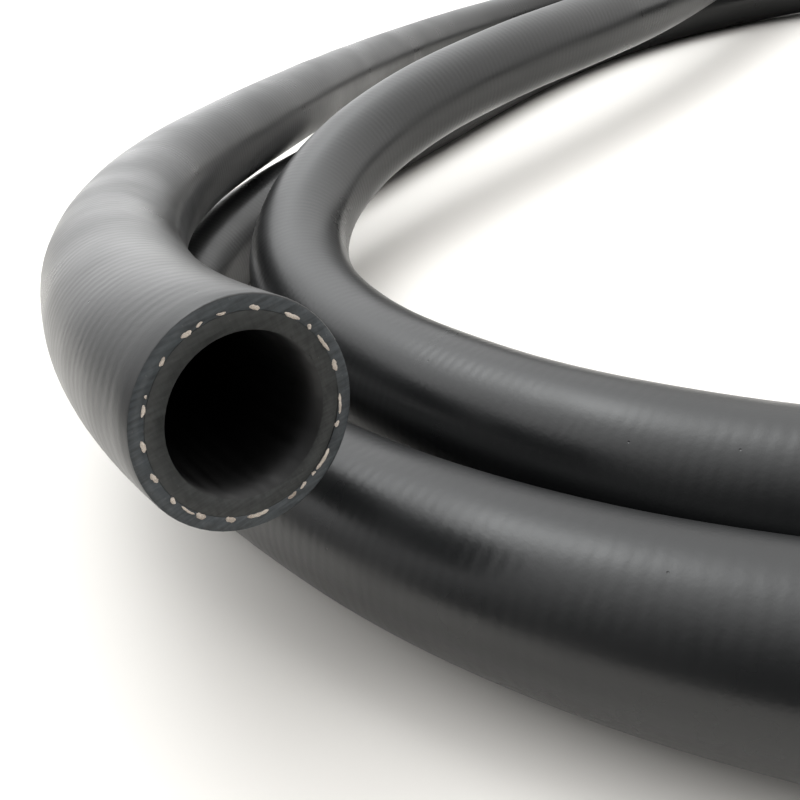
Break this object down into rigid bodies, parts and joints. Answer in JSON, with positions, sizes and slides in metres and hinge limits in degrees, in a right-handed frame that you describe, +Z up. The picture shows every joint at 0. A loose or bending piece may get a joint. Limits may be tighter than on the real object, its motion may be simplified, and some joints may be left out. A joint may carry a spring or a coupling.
{
  "type": "fuel hose",
  "caption": "Loosely coiled black rubber fuel hose with a textile braid between its cover and inner tube, and both ends cut square.",
  "frame": {"origin": "on the floor under the middle of the coil's bounding box", "axes": "+Z up from the floor; both cut ends face -Y, the raised one at the coil's left and the inner one on top of the inner turn"},
  "size_m": [0.6692, 0.6165, 0.0658],
  "materials": {
    "cover_rubber": "satin, faintly ribbed by the braid under it",
    "braid_yarn": "matt twisted yarn",
    "tube_rubber": "matt cut rubber, smooth in the bore"
  },
  "bodies": {
    "root": {"outer_cover": "cover_rubber", "textile_braid": "braid_yarn", "inner_tube": "tube_rubber"}
  },
  "joints": []
}
